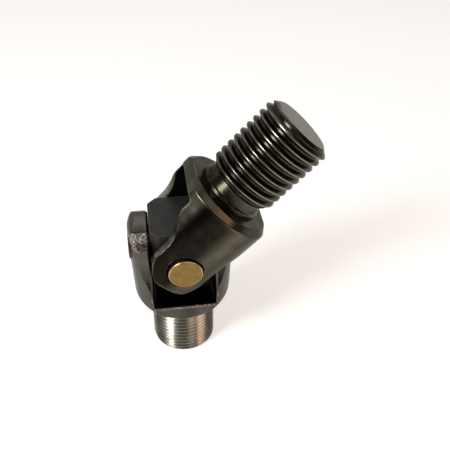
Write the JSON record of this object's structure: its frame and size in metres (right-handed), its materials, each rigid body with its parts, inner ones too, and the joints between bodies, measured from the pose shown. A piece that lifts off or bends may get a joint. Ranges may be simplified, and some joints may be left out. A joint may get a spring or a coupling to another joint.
{
  "type": "universal joint",
  "caption": "Steel universal joint with a coarse threaded upper yoke, a finer threaded lower yoke, a dark centre block and brass pins",
  "frame": {"origin": "centre of the end face of the lower stud", "axes": "+Z along the lower stud towards the pins, +X along the cross pins towards the side the upper yoke leans to, +Y along the main pin"},
  "size_m": [0.0567, 0.0326, 0.0828],
  "materials": {
    "dark_steel": "oiled dark steel, turned and milled",
    "bright_steel": "turned and milled steel, satin",
    "black_steel": "matte black oxide",
    "brass": "satin turned brass"
  },
  "bodies": {
    "lower": {"lower_yoke": "bright_steel"},
    "cross": {"centre_block": "black_steel", "main_pin": "brass", "cross_pin_left": "brass", "cross_pin_right": "brass"},
    "upper": {"upper_yoke": "dark_steel"}
  },
  "joints": [
    {"name": "cross_hinge", "type": "hinge", "parent": "lower", "child": "cross", "pos_m": [0, 0, 0.0402], "axis": [1, 0, 0], "range_deg": [-10, 10]},
    {"name": "main_hinge", "type": "hinge", "parent": "cross", "child": "upper", "pos_m": [0, 0, 0.0402], "axis": [0, 1, 0], "range_deg": [-86, 0]}
  ]
}
